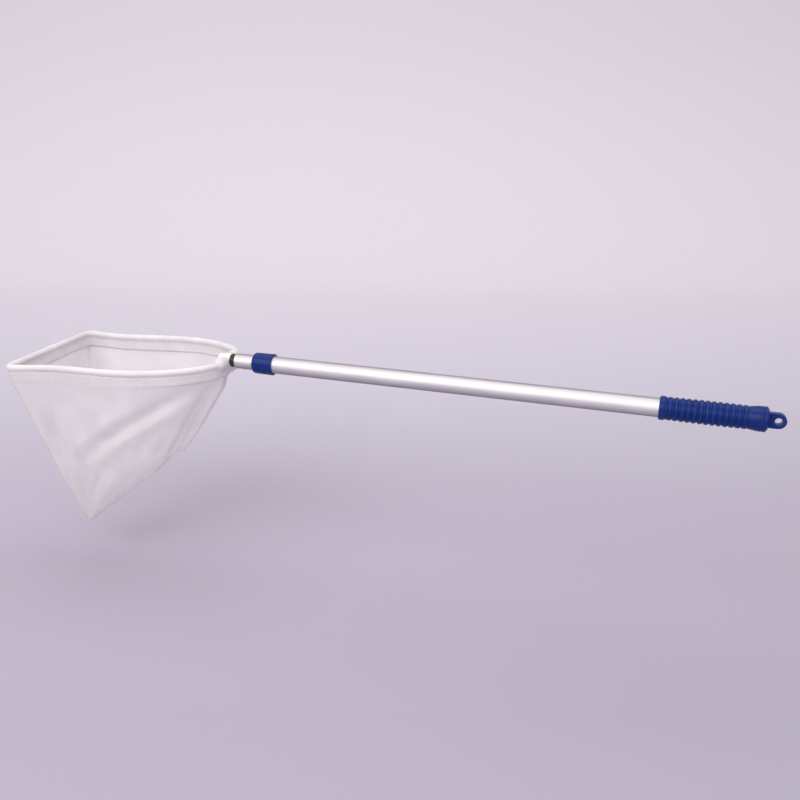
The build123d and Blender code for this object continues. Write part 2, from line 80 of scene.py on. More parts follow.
# ---------------------------------------------------------------- shader graph helper
class Graph:
    """A material under construction; most methods add a node and return its output socket."""

    def __init__(self, name):
        self.material = bpy.data.materials.new(name)
        self.material.use_nodes = True
        self.tree = self.material.node_tree
        self.tree.nodes.clear()
        self.output = self.tree.nodes.new("ShaderNodeOutputMaterial")

    def node(self, kind, inputs, **settings):
        """Add a node; each input is either a socket to link or a plain value."""
        node = self.tree.nodes.new(kind)
        for key, value in settings.items():
            setattr(node, key, value)
        for key, value in inputs.items():
            if isinstance(value, bpy.types.NodeSocket):
                self.tree.links.new(value, node.inputs[key])
            else:
                node.inputs[key].default_value = value
        return node

    def finish(self, shader):
        self.tree.links.new(shader, self.output.inputs[0])
        return self.material

    def math(self, operation, a, b=None, clamp=False):
        inputs = {0: a} if b is None else {0: a, 1: b}
        node = self.node("ShaderNodeMath", inputs, operation=operation, use_clamp=clamp)
        return node.outputs[0]

    def above(self, value, threshold, gain):
        """Mask that rises from 0 where the value passes the threshold, up to 1."""
        over = self.math("SUBTRACT", value, threshold, clamp=True)
        return self.math("MULTIPLY", over, gain, clamp=True)

    def coords(self, which="Object", scale=(1000.0, 1000.0, 1000.0)):
        """Texture coordinates, in millimetres unless another scale is given."""
        source = self.node("ShaderNodeTexCoord", {}).outputs[which]
        mapping = self.node("ShaderNodeMapping", {"Scale": scale, "Vector": source})
        return mapping.outputs["Vector"]

    def split(self, vector):
        return self.node("ShaderNodeSeparateXYZ", {0: vector}).outputs

    def noise(self, vector, scale=1.0, detail=4.0, roughness=0.55):
        inputs = {"Scale": scale, "Detail": detail, "Roughness": roughness, "Vector": vector}
        return self.node("ShaderNodeTexNoise", inputs).outputs["Fac"]

    def ramp(self, factor, stops):
        """Colour ramp through (position, rgb) stops."""
        node = self.node("ShaderNodeValToRGB", {"Fac": factor})
        elements = node.color_ramp.elements
        while len(elements) < len(stops):
            elements.new(0.5)
        for element, (position, color) in zip(elements, stops):
            element.position = position
            element.color = (*color, 1.0)
        return node.outputs["Color"]

    def span(self, factor, low, high):
        """Map 0..1 to low..high."""
        inputs = {"To Min": low, "To Max": high, "Value": factor}
        return self.node("ShaderNodeMapRange", inputs).outputs["Result"]

    def bump(self, height, strength, distance, normal=None):
        inputs = {"Strength": strength, "Distance": distance, "Height": height}
        if normal is not None:
            inputs["Normal"] = normal
        return self.node("ShaderNodeBump", inputs).outputs["Normal"]

    def facing(self, blend):
        return self.node("ShaderNodeLayerWeight", {"Blend": blend}).outputs["Facing"]

    def mix_color(self, factor, a, b, blend_type="MIX"):
        # In colour mode sockets 6 and 7 are the two colours and output 2 is the result
        node = self.node("ShaderNodeMix", {}, data_type="RGBA", blend_type=blend_type)
        for key, value in (("Factor", factor), (6, a), (7, b)):
            if isinstance(value, bpy.types.NodeSocket):
                self.tree.links.new(value, node.inputs[key])
            else:
                node.inputs[key].default_value = value
        return node.outputs[2]

    def principled(self, base, roughness, normal=None, **extra):
        """Principled shader; extra socket names are given with underscores for spaces."""
        inputs = {"Base Color": base, "Roughness": roughness}
        if normal is not None:
            inputs["Normal"] = normal
        inputs.update({key.replace("_", " "): value for key, value in extra.items()})
        return self.node("ShaderNodeBsdfPrincipled", inputs).outputs[0]

    def translucent(self, color, normal):
        inputs = {"Color": color, "Normal": normal}
        return self.node("ShaderNodeBsdfTranslucent", inputs).outputs[0]

    def mix_shader(self, factor, a, b):
        return self.node("ShaderNodeMixShader", {0: factor, 1: a, 2: b}).outputs[0]


def shade(color, gain):
    return tuple(max(0.0, min(1.0, value * gain)) for value in color)


# ---------------------------------------------------------------- materials
def metal_tube(name, color, roughness):
    """Drawn satin aluminium: die lines along the tube, handling smears, short scratches, and
    painted shade towards the edges.
    """
    g = Graph(name)
    lines = g.noise(g.coords(scale=(6.0, 2600.0, 2600.0)), detail=3.0, roughness=0.6)
    smear = g.noise(g.coords(scale=(14.0, 60.0, 60.0)), detail=5.0, roughness=0.6)
    scratch = g.noise(g.coords(scale=(55.0, 900.0, 900.0)), detail=2.0, roughness=0.4)
    cuts = g.above(scratch, threshold=0.68, gain=3.0)
    base = g.ramp(smear, [(0.25, shade(color, 0.90)), (0.75, shade(color, 1.05))])
    # painted shade: the base colour darkens where the tube turns away from the viewer, standing
    # in for the darker surroundings it reflects
    painted_edge_shade = g.ramp(g.facing(blend=0.5), [
        (0.10, (1.0, 1.0, 1.0)), (0.34, (0.80, 0.79, 0.80)), (0.60, (0.56, 0.54, 0.565))])
    base = g.mix_color(1.0, base, painted_edge_shade, blend_type="MULTIPLY")
    gloss = g.span(smear, low=roughness - 0.06, high=roughness + 0.12)
    gloss = g.math("ADD", gloss, g.math("MULTIPLY", lines, 0.10))
    gloss = g.math("ADD", gloss, g.math("MULTIPLY", cuts, 0.15))
    height = g.math("SUBTRACT", lines, g.math("MULTIPLY", cuts, 1.2))
    normal = g.bump(height, strength=0.18, distance=0.00006)
    return g.finish(g.principled(base, gloss, normal, Metallic=0.93))


def machined(name, color, roughness=0.32):
    """Turned or plated metal: fine tool marks and uneven tone."""
    g = Graph(name)
    tone = g.noise(g.coords(), scale=0.35, detail=5.0)
    marks = g.noise(g.coords(scale=(4200.0, 500.0, 500.0)), detail=2.0)
    base = g.ramp(tone, [(0.3, shade(color, 0.82)), (0.7, shade(color, 1.08))])
    gloss = g.span(tone, low=roughness - 0.05, high=roughness + 0.15)
    normal = g.bump(marks, strength=0.2, distance=0.00005)
    return g.finish(g.principled(base, gloss, normal, Metallic=1.0))


def plastic(name, color, roughness, coat, grain, wear=0.0, worn=None, specular=0.5):
    """Moulded plastic: orange-peel skin, uneven gloss, and rubbed edges where wear is set."""
    g = Graph(name)
    position = g.coords()
    tone = g.noise(position, scale=0.12)
    peel = g.noise(position, scale=1.6, detail=2.0, roughness=0.5)
    scuff = g.noise(g.coords(scale=(160.0, 520.0, 520.0)), detail=6.0, roughness=0.7)
    base = g.ramp(tone, [(0.25, shade(color, 0.82)), (0.75, shade(color, 1.15))])
    if wear > 0:
        pointiness = g.node("ShaderNodeNewGeometry", {}).outputs["Pointiness"]
        edge = g.above(pointiness, threshold=0.53, gain=9.0)
        edge = g.math("MULTIPLY", edge, g.span(scuff, low=0.1, high=1.0))
        rub = g.above(scuff, threshold=0.63, gain=3.0)
        amount = g.math("MULTIPLY", g.math("ADD", edge, rub, clamp=True), wear, clamp=True)
        base = g.mix_color(amount, base, (*worn, 1.0))
    normal = g.bump(peel, strength=grain, distance=0.0001)
    normal = g.bump(scuff, strength=0.05, distance=0.00008, normal=normal)
    gloss = g.span(scuff, low=roughness - 0.08, high=roughness + 0.16)
    return g.finish(g.principled(
        base, gloss, normal, Coat_Weight=coat, Coat_Roughness=0.25, Specular_IOR_Level=specular))


def weave_height(g, uv, pitch):
    """Plain-weave height: two crossed thread sets that go over and under each other."""
    across = g.split(uv)
    waves = 2 * math.pi / pitch
    warp = g.math("SINE", g.math("MULTIPLY", across[0], waves))
    weft = g.math("SINE", g.math("MULTIPLY", across[1], waves))
    threads = g.math("ADD", g.math("ABSOLUTE", warp), g.math("ABSOLUTE", weft))
    crossing = g.math("MULTIPLY", warp, weft)
    return g.math("ADD", g.math("MULTIPLY", threads, 0.5), g.math("MULTIPLY", crossing, 0.45))


def canvas(name, color, pitch):
    """Canvas: plain weave (pitch in mm) with painted shade between the threads, slubs, faint
    stains, sheen, some light through it.
    """
    g = Graph(name)
    weave = weave_height(g, g.coords("UV"), pitch)
    position = g.coords()
    tone = g.noise(position, scale=0.035, detail=5.0, roughness=0.6)
    slub = g.noise(position, scale=0.9, detail=3.0)
    stain = g.noise(position, scale=0.012, detail=3.0)
    base = g.ramp(tone, [(0.2, shade(color, 0.90)), (0.8, shade(color, 1.04))])
    stained = g.above(stain, threshold=0.52, gain=2.4)
    base = g.mix_color(stained, base, (0.93, 0.91, 0.88, 1.0), blend_type="MULTIPLY")
    # painted shade: the colour darkens in the low gaps between the threads
    painted_gap_shade = g.ramp(weave, [(0.0, (0.88, 0.88, 0.89)), (0.6, (1.0, 1.0, 1.0))])
    base = g.mix_color(1.0, base, painted_gap_shade, blend_type="MULTIPLY")
    normal = g.bump(weave, strength=0.45, distance=0.00035)
    normal = g.bump(slub, strength=0.25, distance=0.0006, normal=normal)
    surface = g.principled(base, 0.85, normal, Sheen_Weight=0.25, Sheen_Roughness=0.5,
                           Specular_IOR_Level=0.2)
    light_through = 0.24
    return g.finish(g.mix_shader(light_through, surface, g.translucent(base, normal)))


def net_mesh(name, color, pitch, openness):
    """Fine knitted net: open diagonal cells (pitch in mm) that close up where seen edge on
    and where the yarn bunches."""
    g = Graph(name)
    across = g.split(g.coords("UV"))
    waves = math.pi / pitch
    rising = g.math("MULTIPLY", g.math("ADD", across[0], across[1]), waves)
    falling = g.math("MULTIPLY", g.math("SUBTRACT", across[0], across[1]), waves)
    rising = g.math("ABSOLUTE", g.math("SINE", rising))
    falling = g.math("ABSOLUTE", g.math("SINE", falling))
    cell = g.math("MULTIPLY", rising, falling)
    hole = g.above(cell, threshold=0.32, gain=4.0)
    tone = g.noise(g.coords(), scale=0.02, detail=5.0, roughness=0.6)
    bunch = g.noise(g.coords(scale=(1000.0, 1000.0, 260.0)), scale=0.06, roughness=0.6)
    edge_on = g.math("POWER", g.facing(blend=0.32), 0.8)
    clear = g.math("MULTIPLY", hole, g.math("SUBTRACT", 1.0, edge_on, clamp=True))
    clear = g.math("MULTIPLY", clear, g.span(bunch, low=0.65, high=1.1), clamp=True)
    clear = g.math("MULTIPLY", clear, openness, clamp=True)
    base = g.ramp(tone, [(0.25, shade(color, 0.93)), (0.75, shade(color, 1.03))])
    normal = g.bump(g.math("SUBTRACT", 1.0, cell), strength=0.30, distance=0.0003)
    yarn = g.principled(base, 0.6, normal, Sheen_Weight=0.3, Sheen_Roughness=0.4,
                        Specular_IOR_Level=0.35)
    light_through = 0.42
    yarn = g.mix_shader(light_through, yarn, g.translucent(base, normal))
    transparent = g.node("ShaderNodeBsdfTransparent", {}).outputs[0]
    return g.finish(g.mix_shader(clear, yarn, transparent))


def thread(name, color):
    """Sewing thread: fine grain and a soft sheen."""
    g = Graph(name)
    grain = g.noise(g.coords(scale=(3000.0, 3000.0, 3000.0)), detail=2.0)
    base = g.ramp(grain, [(0.3, shade(color, 0.85)), (0.7, color)])
    normal = g.bump(grain, strength=0.3, distance=0.0001)
    return g.finish(g.principled(base, 0.55, normal, Sheen_Weight=0.3))


def studio_floor():
    """Backdrop colour that lightens with distance behind the net, a painted falloff of the
    light, slightly mottled.
    """
    g = Graph("studio_floor")
    position = g.coords(scale=(1.0, 1.0, 1.0))
    mottle = g.noise(position, scale=1.6)
    distance = g.math("ADD", g.split(position)[1], 0.5)
    distance = g.math("DIVIDE", distance, 3.0, clamp=True)
    mottle = g.math("MULTIPLY", g.math("SUBTRACT", mottle, 0.5), 0.03)
    # painted light falloff: the colour runs from dark in front of the net to light on the
    # backdrop behind
    base = g.ramp(g.math("ADD", distance, mottle, clamp=True), [
        (0.08, (0.405, 0.375, 0.445)), (0.30, (0.470, 0.440, 0.512)),
        (0.49, (0.60, 0.570, 0.64)), (0.72, (0.72, 0.685, 0.745)), (0.9, (0.785, 0.755, 0.80))])
    return g.finish(g.principled(base, 0.9, Specular_IOR_Level=0.1))


MATS = {
    "pole_aluminium": metal_tube("satin_aluminium", (0.74, 0.71, 0.725), roughness=0.48),
    "blue_plastic": plastic(
        "blue_plastic", (0.003, 0.021, 0.145), roughness=0.27, coat=0.05, grain=0.12,
        wear=0.25, worn=(0.045, 0.10, 0.28), specular=0.17),
    "white_nylon": plastic(
        "white_nylon", (0.78, 0.78, 0.76), roughness=0.45, coat=0.0, grain=0.1),
    "brass": machined("turned_brass", (0.72, 0.55, 0.26)),
    "steel": machined("zinc_steel", (0.58, 0.58, 0.60), roughness=0.3),
    "rivet_aluminium": machined("rivet_aluminium", (0.70, 0.70, 0.72), roughness=0.35),
    "dark_plastic": plastic(
        "dark_plastic", (0.012, 0.012, 0.015), roughness=0.26, coat=0.25, grain=0.15,
        wear=0.2, worn=(0.10, 0.10, 0.11), specular=0.35),
    "light_plastic": plastic(
        "light_plastic", (0.84, 0.81, 0.83), roughness=0.40, coat=0.1, grain=0.12,
        wear=0.2, worn=(0.6, 0.58, 0.6)),
    "white_canvas": canvas("white_canvas", (0.97, 0.945, 0.955), pitch=0.9),
    "white_mesh": net_mesh("white_mesh", (0.935, 0.902, 0.912), pitch=1.5, openness=0.20),
    "thread": thread("sewing_thread", (0.88, 0.85, 0.86)),
}

for name, node_object in NODES.items():
    node_object.data.materials.clear()
    node_object.data.materials.append(MATS[SLOT_OF[name]])


# ---------------------------------------------------------------- geometry helpers
def unit(vectors):
    return vectors / (np.linalg.norm(vectors, axis=-1, keepdims=True) + 1e-12)


def smoothstep(x):
    return x * x * (3 - 2 * x)


def arc_length(points):
    """Running length along a polyline."""
    return np.r_[0, np.cumsum(np.linalg.norm(np.diff(points, axis=0), axis=1))]


def plan_normals(points, centre):
    """Unit normals of a closed plan curve, pointing away from its centre."""
    along = unit(np.roll(points, -1, 0) - np.roll(points, 1, 0))
    normals = np.stack([-along[:, 1], along[:, 0]], 1)
    facing = np.sign(((points - centre) * normals).sum(1))
    return normals * np.sign(facing.sum())


def push_out(points, normals, distance):
    """Move (s, y, z) points along their plan normals."""
    moved = points.copy()
    moved[..., :2] += normals * np.asarray(distance)[..., None]
    return moved


def tube_faces(rings, ring_size):
    """Quads between successive closed rings."""
    faces = []
    for i in range(rings - 1):
        for j in range(ring_size):
            here, ahead, j2 = i * ring_size, (i + 1) * ring_size, (j + 1) % ring_size
            faces.append((here + j, ahead + j, ahead + j2, here + j2))
    return faces


def capped_tube_faces(rings, ring_size):
    first = tuple(range(ring_size))
    last = tuple(range((rings - 1) * ring_size, rings * ring_size))[::-1]
    return tube_faces(rings, ring_size) + [first, last]


def shade_smooth(mesh):
    mesh.polygons.foreach_set("use_smooth", [True] * len(mesh.polygons))


def make_object(name, verts, faces, material, uv=None, smooth=True):
    """Add a mesh object; uv holds one pair per vertex."""
    mesh = bpy.data.meshes.new(name)
    mesh.from_pydata([tuple(v) for v in verts], [], faces)
    mesh.materials.append(material)
    if uv is not None:
        layer = mesh.uv_layers.new(name="UVMap")
        corner_vertex = np.zeros(len(mesh.loops), np.int32)
        mesh.loops.foreach_get("vertex_index", corner_vertex)
        layer.data.foreach_set("uv", np.asarray(uv, np.float32)[corner_vertex].ravel())
    mesh.update()
    mesh.validate()
    if smooth:
        shade_smooth(mesh)
    made = bpy.data.objects.new(name, mesh)
    scene.collection.objects.link(made)
    return made


def fix_normals(made):
    work = bmesh.new()
    work.from_mesh(made.data)
    bmesh.ops.recalc_face_normals(work, faces=work.faces)
    work.to_mesh(made.data)
    work.free()


def mesh_points(made):
    points = np.zeros(len(made.data.vertices) * 3, np.float32)
    made.data.vertices.foreach_get("co", points)
    return points.reshape(-1, 3)


# ---------------------------------------------------------------- hoop path
BACK_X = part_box("hoop_rod")[1].x - 0.003    # rod axis at the back of the hoop, metres
DROOP = math.radians(2.8)                   # dip of the hoop towards its front
BACK_S = 7.6
FRONT_S = 320.5
BACK_STRAIGHT = (18.0, 26.0)                # y where the flat back ends and the curve is fixed
# (s, y) down one side of the hoop, from the back to the front corner
SIDE = [
    (9.2, 33.0), (13.0, 40.5), (20.0, 49.5), (30.0, 59.0), (40.0, 66.6), (60.0, 77.8),
    (80.0, 85.8), (100.0, 91.2), (120.0, 94.4), (140.0, 95.8), (160.0, 95.8), (180.0, 94.7),
    (200.0, 93.2), (220.0, 91.9), (240.0, 91.6), (260.0, 93.0), (280.0, 96.4),
]
CORNER_Y = 105.0        # where the side and front lines would meet
CORNER_R = 12.0
LOOP_COUNT = 720
HOOP_CENTRE = (165.0, 0.0)


def to_frame(points):
    """Hoop coordinates (s, y, z) in mm to frame coordinates in metres."""
    x = -(points[..., 0] - BACK_S) * MM
    z = points[..., 2] * MM
    cos, sin = math.cos(DROOP), math.sin(DROOP)
    return np.stack([BACK_X + x * cos - z * sin, points[..., 1] * MM, x * sin + z * cos], -1)


def between(a, b, t_a, t_b, t):
    return (t_b - t) / (t_b - t_a) * a + (t - t_a) / (t_b - t_a) * b


def smooth_curve(points, steps=14):
    """Centripetal Catmull-Rom curve through the points."""
    p = np.array(points, float)
    p = np.vstack([2 * p[0] - p[1], p, 2 * p[-1] - p[-2]])
    curve = []
    for p0, p1, p2, p3 in zip(p, p[1:], p[2:], p[3:]):
        t0 = 0.0
        t1 = t0 + np.linalg.norm(p1 - p0) ** 0.5
        t2 = t1 + np.linalg.norm(p2 - p1) ** 0.5
        t3 = t2 + np.linalg.norm(p3 - p2) ** 0.5
        for t in np.linspace(t1, t2, steps, endpoint=False):
            a1 = between(p0, p1, t0, t1, t)
            a2 = between(p1, p2, t1, t2, t)
            a3 = between(p2, p3, t2, t3, t)
            b1 = between(a1, a2, t0, t2, t)
            b2 = between(a2, a3, t1, t3, t)
            curve.append(between(b1, b2, t1, t2, t))
    curve.append(p[-2])
    return np.array(curve)


def hoop_half():
    """The +y half of the hoop's centre line, back middle to front middle, as (s, y)."""
    corner = np.array([FRONT_S, CORNER_Y])
    along = unit(corner - SIDE[-1])
    turn = math.acos(-along[1])
    arc_start = corner - along * CORNER_R * math.tan(turn / 2)
    centre = arc_start + np.array([along[1], -along[0]]) * CORNER_R
    start_angle = math.atan2(arc_start[1] - centre[1], arc_start[0] - centre[0])
    angles = np.linspace(start_angle, 0, 16)
    arc = centre + CORNER_R * np.stack([np.cos(angles), np.sin(angles)], 1)
    back_end = BACK_STRAIGHT[0]
    back = np.array([(BACK_S, y) for y in np.linspace(0, back_end, 20, endpoint=False)])
    side = smooth_curve([(BACK_S, y) for y in BACK_STRAIGHT] + SIDE + [tuple(arc_start)])
    front = np.array([(FRONT_S, y) for y in np.linspace(arc[-1][1], 0, 60)])
    return np.vstack([back, side, arc[1:], front[1:]])


def hoop_loop():
    """The whole hoop evenly spaced: back middle, +y side, front, -y side; and its lengths."""
    half = hoop_half()
    closed = np.vstack([half, (half * [1, -1])[::-1][1:-1], half[:1]])
    run = arc_length(closed)
    lengths = np.linspace(0, run[-1], LOOP_COUNT + 1)[:-1]
    return np.stack([np.interp(lengths, run, closed[:, i]) for i in range(2)], 1), lengths


LOOP, LOOP_LENGTHS = hoop_loop()


# ---------------------------------------------------------------- hem
HEM_THICK = 0.75
LAYER = 0.85            # middle of each canvas layer, off the bag's skin
BAND_Z = -20.8          # free lower edge of the inner band
HEM_GAP_Y = 11.0        # the sleeve leaves the hoop bare this far each side of the back middle
# Hem stations below the rod: (outward offset, z, share of the drop where the sleeve is fat)
OUTER_LAYER = [
    (LAYER - 0.3, -11.0, 1.0), (LAYER - 0.25, -10.0, 1.0), (LAYER - 0.2, -9.0, 1.0),
    (LAYER - 0.1, -8.0, 1.0), (LAYER + 0.3, -6.6, 1.0),
]
INNER_LAYER = [
    (-LAYER - 0.35, -6.8, 1.0), (-LAYER, -9.5, 1.0), (-LAYER, -12.0, 0.6), (-LAYER, -14.4, 0.0),
    (-LAYER, -16.8, 0.0), (-LAYER, -18.8, 0.0), (-LAYER, -19.6, 0.0), (-LAYER, BAND_Z, 0.0),
]


def smooth_noise(count, waves, seed):
    """Sum of sines round the hem, about -1 to 1; waves are (cycles, strength)."""
    random = np.random.default_rng(seed)
    angle = np.arange(count) / count * 2 * math.pi
    total = np.zeros(count)
    for cycles, strength in waves:
        total += strength * np.sin(cycles * angle + random.uniform(0, 2 * math.pi))
    return total / sum(strength for _, strength in waves)


def hem_ribbon(radius, lift):
    """Middle line of the folded canvas across the hoop, as (outward, z):
    up the outside, round the rod, down the inside."""
    drop = -max(0.0, radius - 5.2)
    outside, inside = ([(out, z + drop * share) for out, z, share in layer]
                       for layer in (OUTER_LAYER, INNER_LAYER))
    around = [(radius * math.cos(angle), radius * math.sin(angle) + lift)
              for angle in np.linspace(math.radians(-52), math.radians(232), 19)]
    return np.array(outside + around + inside)


def thicken(ribbon, thickness):
    """Both faces of a ribbon."""
    along = unit(np.gradient(ribbon, axis=0))
    normals = np.stack([along[:, 1], -along[:, 0]], 1)
    return ribbon + normals * thickness / 2, ribbon - normals * thickness / 2


def build_hem():
    """Sleeve round the rod with its inner band; returns the object and its section size."""
    bare = (np.abs(LOOP[:, 1]) < HEM_GAP_Y) & (LOOP[:, 0] < 20)
    path = LOOP[~bare]
    normals = plan_normals(LOOP, HOOP_CENTRE)[~bare]
    lengths = LOOP_LENGTHS[~bare]
    count = len(path)
    # short gathers along the seam, longer waves of the band's free edge
    pucker = smooth_noise(count, [(61, 1.0), (97, 0.8), (143, 0.7), (37, 0.6)], seed=3)
    gather = smooth_noise(count, [(53, 1.0), (88, 0.8), (131, 0.6)], seed=5)
    wave = smooth_noise(count, [(7, 1.0), (11, 0.8), (17, 0.6), (29, 0.3)], seed=11)
    fatness = smooth_noise(count, [(9, 1.0), (23, 0.7), (41, 0.5)], seed=13)
    verts, uv = [], []
    for i in range(count):
        # the sleeve swells where it meets the socket at the back
        swell = 0.0
        if path[i, 0] < 14:
            swell = smoothstep(min(1.0, max(0.0, (33.0 - abs(path[i, 1])) / 6.0)))
        radius = 4.25 + 0.26 * fatness[i] + 4.05 * swell
        ribbon = hem_ribbon(radius, lift=-0.25 * (1 - swell))
        z = ribbon[:, 1]
        depth = np.clip((-z - 8.0) / 15.0, 0, 1)
        shift = depth * 0.9 * wave[i] + 0.45 * pucker[i] * np.exp(-((z + 9.0) / 3.2) ** 2)
        puff = 0.30 * gather[i] * np.exp(-((z + 2.5) / 3.5) ** 2) * np.sign(ribbon[:, 0])
        ribbon[:, 0] += shift + puff
        ribbon[:, 1] += depth * 0.45 * wave[(i * 3) % count]
        one_face, other_face = thicken(ribbon, HEM_THICK)
        section = np.vstack([one_face, other_face[::-1]])
        across = arc_length(ribbon)
        plan = path[i] + normals[i] * section[:, :1]
        verts.append(to_frame(np.column_stack([plan, section[:, 1]])))
        uv.append(np.stack([np.full(len(section), lengths[i]), np.r_[across, across[::-1]]], 1))
    size = len(verts[0])
    faces = tube_faces(count, size)
    # close the two open ends as strips across the canvas's thickness
    for base, step in ((0, 1), ((count - 1) * size, -1)):
        for j in range(size // 2 - 1):
            strip = (base + j, base + j + 1, base + size - 2 - j, base + size - 1 - j)
            faces.append(strip[::step])
    hem = make_object("hem_canvas", np.vstack(verts), faces, MATS["white_canvas"],
                      np.vstack(uv) * MM)
    fix_normals(hem)
    return hem, size


def build_hem_back():
    """The band's part that passes under the socket between the two ends of the sleeve."""
    thickness = 0.7
    stations = np.linspace(-24, 24, 49)
    verts, uv = [], []
    for y in stations:
        ripple = 0.25 * min(1.0, (25.0 - abs(y)) / 14.0)
        top = -10.9 + max(0.0, abs(y) - 12) * 0.05
        heights = np.linspace(top, BAND_Z - 0.35 + 0.25 * math.sin(y * 0.7), 9)
        out = 1.75 + ripple * np.sin(y * 0.45 + heights * 0.2)
        outer = np.stack([out, heights], 1)
        inner = np.stack([out - thickness, heights], 1)
        section = np.vstack([outer, inner[::-1]])
        ys = np.full(len(section), y)
        verts.append(to_frame(np.stack([BACK_S - section[:, 0], ys, section[:, 1]], 1)))
        uv.append(np.stack([ys, section[:, 1]], 1) * MM)
    faces = capped_tube_faces(len(stations), len(verts[0]))
    band = make_object("hem_back_band", np.vstack(verts), faces, MATS["white_canvas"],
                       np.vstack(uv))
    fix_normals(band)
    return band


# ---------------------------------------------------------------- bag shape
BAG_ROWS = 150
BAG_THICK = 0.42
TOP_Z = -6.3
TAPER_Z = -21.0         # the outline keeps the hoop's plan down to here, then narrows
TIP_Z = -295.0
TIP_FRONT_S = 293.0
TIP_HALF_WIDTH = 1.2
# (z, s) down the back of the bag
BACK_LINE = np.array([
    (-15.0, 8.0), (-40.0, 27.0), (-60.0, 41.0), (-110.0, 75.0), (-155.0, 108.0),
    (-195.0, 151.0), (-235.0, 205.0), (-270.0, 254.0), (-288.0, 279.0), (-296.0, 289.0),
])
# Creases and swells. Places are (drop, turn): drop 0 at the hem to 1 at the tip; turn 0 at
# the back, 0.25 on the +y side, 0.5 at the front, 0.75 on the -y side.
# (path, width in turns, height in mm, first drop, last drop, fade in, fade out)
FOLDS = [
    # tension crease from the back down across the -y side, with a swell each side of it
    ([(0.03, 0.945), (0.22, 0.86), (0.42, 0.76), (0.6, 0.70)],
     0.026, -7.5, 0.03, 0.58, 0.16, 0.16),
    ([(0.03, 0.985), (0.22, 0.905), (0.42, 0.81), (0.6, 0.745)],
     0.030, 3.4, 0.04, 0.60, 0.2, 0.2),
    ([(0.03, 0.905), (0.22, 0.815), (0.42, 0.715), (0.6, 0.66)],
     0.030, 2.6, 0.06, 0.60, 0.2, 0.2),
    # softer crease and swell on the +y side
    ([(0.03, 0.06), (0.25, 0.15), (0.5, 0.23), (0.8, 0.27)], 0.032, -5.0, 0.04, 0.8, 0.2, 0.2),
    ([(0.03, 0.11), (0.25, 0.20), (0.5, 0.28), (0.8, 0.32)], 0.032, 2.6, 0.04, 0.8, 0.2, 0.2),
    # long creases from the front corners and the front panel towards the tip
    ([(0.1, 0.665), (0.5, 0.645), (0.95, 0.61)], 0.014, -4.4, 0.14, 0.97, 0.14, 0.14),
    ([(0.1, 0.700), (0.5, 0.685), (0.95, 0.64)], 0.020, 2.8, 0.16, 0.97, 0.16, 0.16),
    ([(0.1, 0.36), (0.5, 0.368), (0.95, 0.39)], 0.016, -2.8, 0.14, 0.97, 0.14, 0.14),
    ([(0.2, 0.52), (0.9, 0.49)], 0.014, -2.2, 0.18, 0.9, 0.2, 0.2),
    # broad soft folds low on both sides
    ([(0.35, 0.80), (0.95, 0.74)], 0.022, -2.4, 0.45, 0.97, 0.2, 0.2),
    ([(0.35, 0.86), (0.95, 0.80)], 0.024, 2.2, 0.45, 0.97, 0.2, 0.2),
    ([(0.35, 0.20), (0.95, 0.26)], 0.022, -2.4, 0.45, 0.97, 0.2, 0.2),
    # spare cloth at the back: a flap between two folds, ending part way down
    ([(0.05, 0.966), (0.5, 0.953)], 0.010, -7.0, 0.05, 0.53, 0.08, 0.08),
    ([(0.05, 0.004), (0.5, -0.004)], 0.013, 12.5, 0.03, 0.505, 0.10, 0.016),
    ([(0.05, 0.036), (0.5, 0.034)], 0.010, -3.0, 0.05, 0.53, 0.08, 0.08),
    ([(0.5, 0.0), (0.95, 0.0)], 0.060, -5.0, 0.49, 0.90, 0.02, 0.35),
]


def bag_rows():
    """Undisturbed plan outlines from the hem down to the tip, as (s, y, z)."""
    s_high, s_low, y_high = LOOP[:, 0].max(), LOOP[:, 0].min(), LOOP[:, 1].max()
    rows = []
    for i in range(BAG_ROWS):
        # rows lie slightly uneven in height
        z = TOP_Z + (TIP_Z - TOP_Z) * (i / (BAG_ROWS - 1)) ** 0.96
        taper = max(0.0, (z - TAPER_Z) / (TIP_Z - TAPER_Z))
        front = s_high + (TIP_FRONT_S - s_high) * taper
        back = s_low if taper == 0 else np.interp(-z, -BACK_LINE[:, 0], BACK_LINE[:, 1])
        half_width = y_high * (1 - taper) ** 0.94 + TIP_HALF_WIDTH * taper
        s = front - (s_high - LOOP[:, 0]) / (s_high - s_low) * (front - back)
        y = LOOP[:, 1] / y_high * half_width
        rows.append(np.stack([s, y, np.full(len(s), z)], 1))
    return np.array(rows)


def ridge(turn, centre, width):
    """Bell profile round the bag about a centre."""
    distance = np.abs(turn - centre)
    distance = np.minimum(distance, 1 - distance)
    return np.exp(-(distance / width) ** 2)


def fold(drop, turn, path, width, height, first, last, fade_in, fade_out):
    """A crease or swell whose place round the bag follows the path."""
    centre = np.interp(drop[:, 0], [p[0] for p in path], [p[1] for p in path])[:, None]
    window = np.clip((drop - first) / fade_in, 0, 1) * np.clip((last - drop) / fade_out, 0, 1)
    return height * ridge(turn, centre, width) * smoothstep(window)


